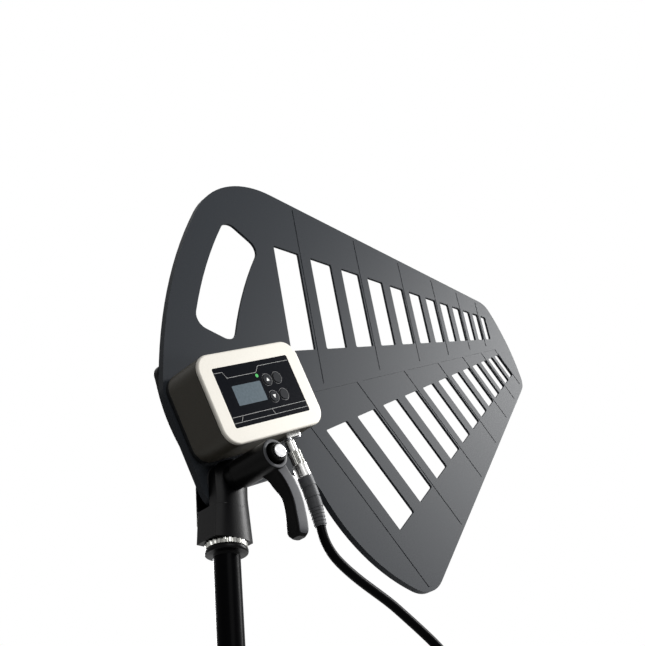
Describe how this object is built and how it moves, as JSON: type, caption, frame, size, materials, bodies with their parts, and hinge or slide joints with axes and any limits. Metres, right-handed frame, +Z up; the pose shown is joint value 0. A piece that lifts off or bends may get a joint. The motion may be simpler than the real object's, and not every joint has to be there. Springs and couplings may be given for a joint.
{
  "type": "directional antenna",
  "caption": "Swept slotted board antenna with an amplifier box and display, on a tilting swivel bracket with a clamp lever, and a coiled coaxial lead.",
  "frame": {"origin": "centre of the stand tube's lower end, where a stand holds the antenna", "axes": "+Z up along the stand tube, +X the way the antenna aims, -Y towards the side with the amplifier box; the tilt axis runs along Y 110 mm up"},
  "size_m": [0.3651, 0.0772, 0.4407],
  "materials": {
    "board": "fine moulded texture, dark grey",
    "bracket": "fine powder coat, black",
    "rubber": "matt moulded rubber",
    "box": "satin bronze brown",
    "bezel": "satin champagne",
    "panel": "black gloss",
    "window": "clear display window",
    "display": "grey-blue display",
    "circuit": "green solder mask",
    "inner_plastic": "moulded plastic",
    "plated": "nickel plated brass",
    "insulator": "white fluoropolymer",
    "contact": "gold plated brass",
    "screws": "zinc plated steel",
    "led": "green light",
    "lead": "black jacket, satin",
    "tie": "black hook and loop strap",
    "lever": "glass-filled black plastic",
    "bright": "bright nickel",
    "tube": "black powder coat",
    "keys": "dark grey key tops"
  },
  "bodies": {
    "stand": {"stand_tube": "tube", "stand_stud": "plated", "stand_collar": "bracket"},
    "ring": {"lock_ring": "bright"},
    "bracket": {"bracket_housing": "bracket", "friction_washer": "inner_plastic", "thrust_washer": "bracket"},
    "antenna": {"antenna_board": "board", "tilt_plate": "bracket", "base_gasket": "rubber", "box_shell": "box", "bezel_seal": "rubber", "box_bezel": "bezel", "control_panel": "panel", "display_window": "window", "display_module": "display", "circuit_board": "circuit", "tact_switches": "inner_plastic", "jack_body": "plated", "jack_insulator": "insulator", "jack_contact": "contact", "jack_screws": "screws", "plug_body": "plated", "plug_pin": "contact", "clamp_ring": "plated", "plug_boot": "rubber", "status_led": "led", "feed_pin": "contact", "plate_screws": "screws", "bezel_screws": "screws", "circuit_screws": "screws", "pivot_bolt": "screws", "lead": "lead", "lead_coil": "lead", "coil_tie": "tie", "far_plug_body": "plated", "far_plug_pin": "contact", "far_clamp_ring": "plated", "far_plug_boot": "rubber"},
    "lever": {"clamp_lever": "lever", "lever_insert": "contact", "lever_cap": "bright"},
    "nut": {"coupling_nut": "plated"},
    "far_nut": {"far_coupling_nut": "plated"},
    "key_upper_left": {"button_upper_left": "keys"},
    "key_upper_right": {"button_upper_right": "keys"},
    "key_lower_left": {"button_lower_left": "keys"},
    "key_lower_right": {"button_lower_right": "keys"}
  },
  "joints": [
    {"name": "ring_turn", "type": "hinge", "parent": "stand", "child": "ring", "pos_m": [0, 0, 0.0718], "axis": [0, 0, 1], "range_deg": [-180, 180]},
    {"name": "pan", "type": "hinge", "parent": "stand", "child": "bracket", "pos_m": [0, 0, 0.08], "axis": [0, 0, 1], "range_deg": [-180, 180]},
    {"name": "tilt", "type": "hinge", "parent": "bracket", "child": "antenna", "pos_m": [0, 0, 0.11], "axis": [0, -1, 0], "range_deg": [-55, 60]},
    {"name": "lever_turn", "type": "hinge", "parent": "antenna", "child": "lever", "pos_m": [0, -0.033, 0.11], "axis": [0, 1, 0], "range_deg": [-100, 100]},
    {"name": "nut_turn", "type": "hinge", "parent": "antenna", "child": "nut", "pos_m": [0.03838, -0.018, 0.14107], "axis": [-0.4289, 0, 0.9033], "range_deg": [-180, 180]},
    {"name": "far_nut_turn", "type": "hinge", "parent": "antenna", "child": "far_nut", "pos_m": [0.21505, -0.0594, -0.0805], "axis": [1, 0, 0], "range_deg": [-180, 180]},
    {"name": "key_upper_left_press", "type": "slide", "parent": "antenna", "child": "key_upper_left", "axis": [0, 1, 0], "range_m": [0, 0.0005], "stiffness_N_per_m": 400, "springref_m": -0.0005},
    {"name": "key_upper_right_press", "type": "slide", "parent": "antenna", "child": "key_upper_right", "axis": [0, 1, 0], "range_m": [0, 0.0005], "stiffness_N_per_m": 400, "springref_m": -0.0005},
    {"name": "key_lower_left_press", "type": "slide", "parent": "antenna", "child": "key_lower_left", "axis": [0, 1, 0], "range_m": [0, 0.0005], "stiffness_N_per_m": 400, "springref_m": -0.0005},
    {"name": "key_lower_right_press", "type": "slide", "parent": "antenna", "child": "key_lower_right", "axis": [0, 1, 0], "range_m": [0, 0.0005], "stiffness_N_per_m": 400, "springref_m": -0.0005}
  ]
}
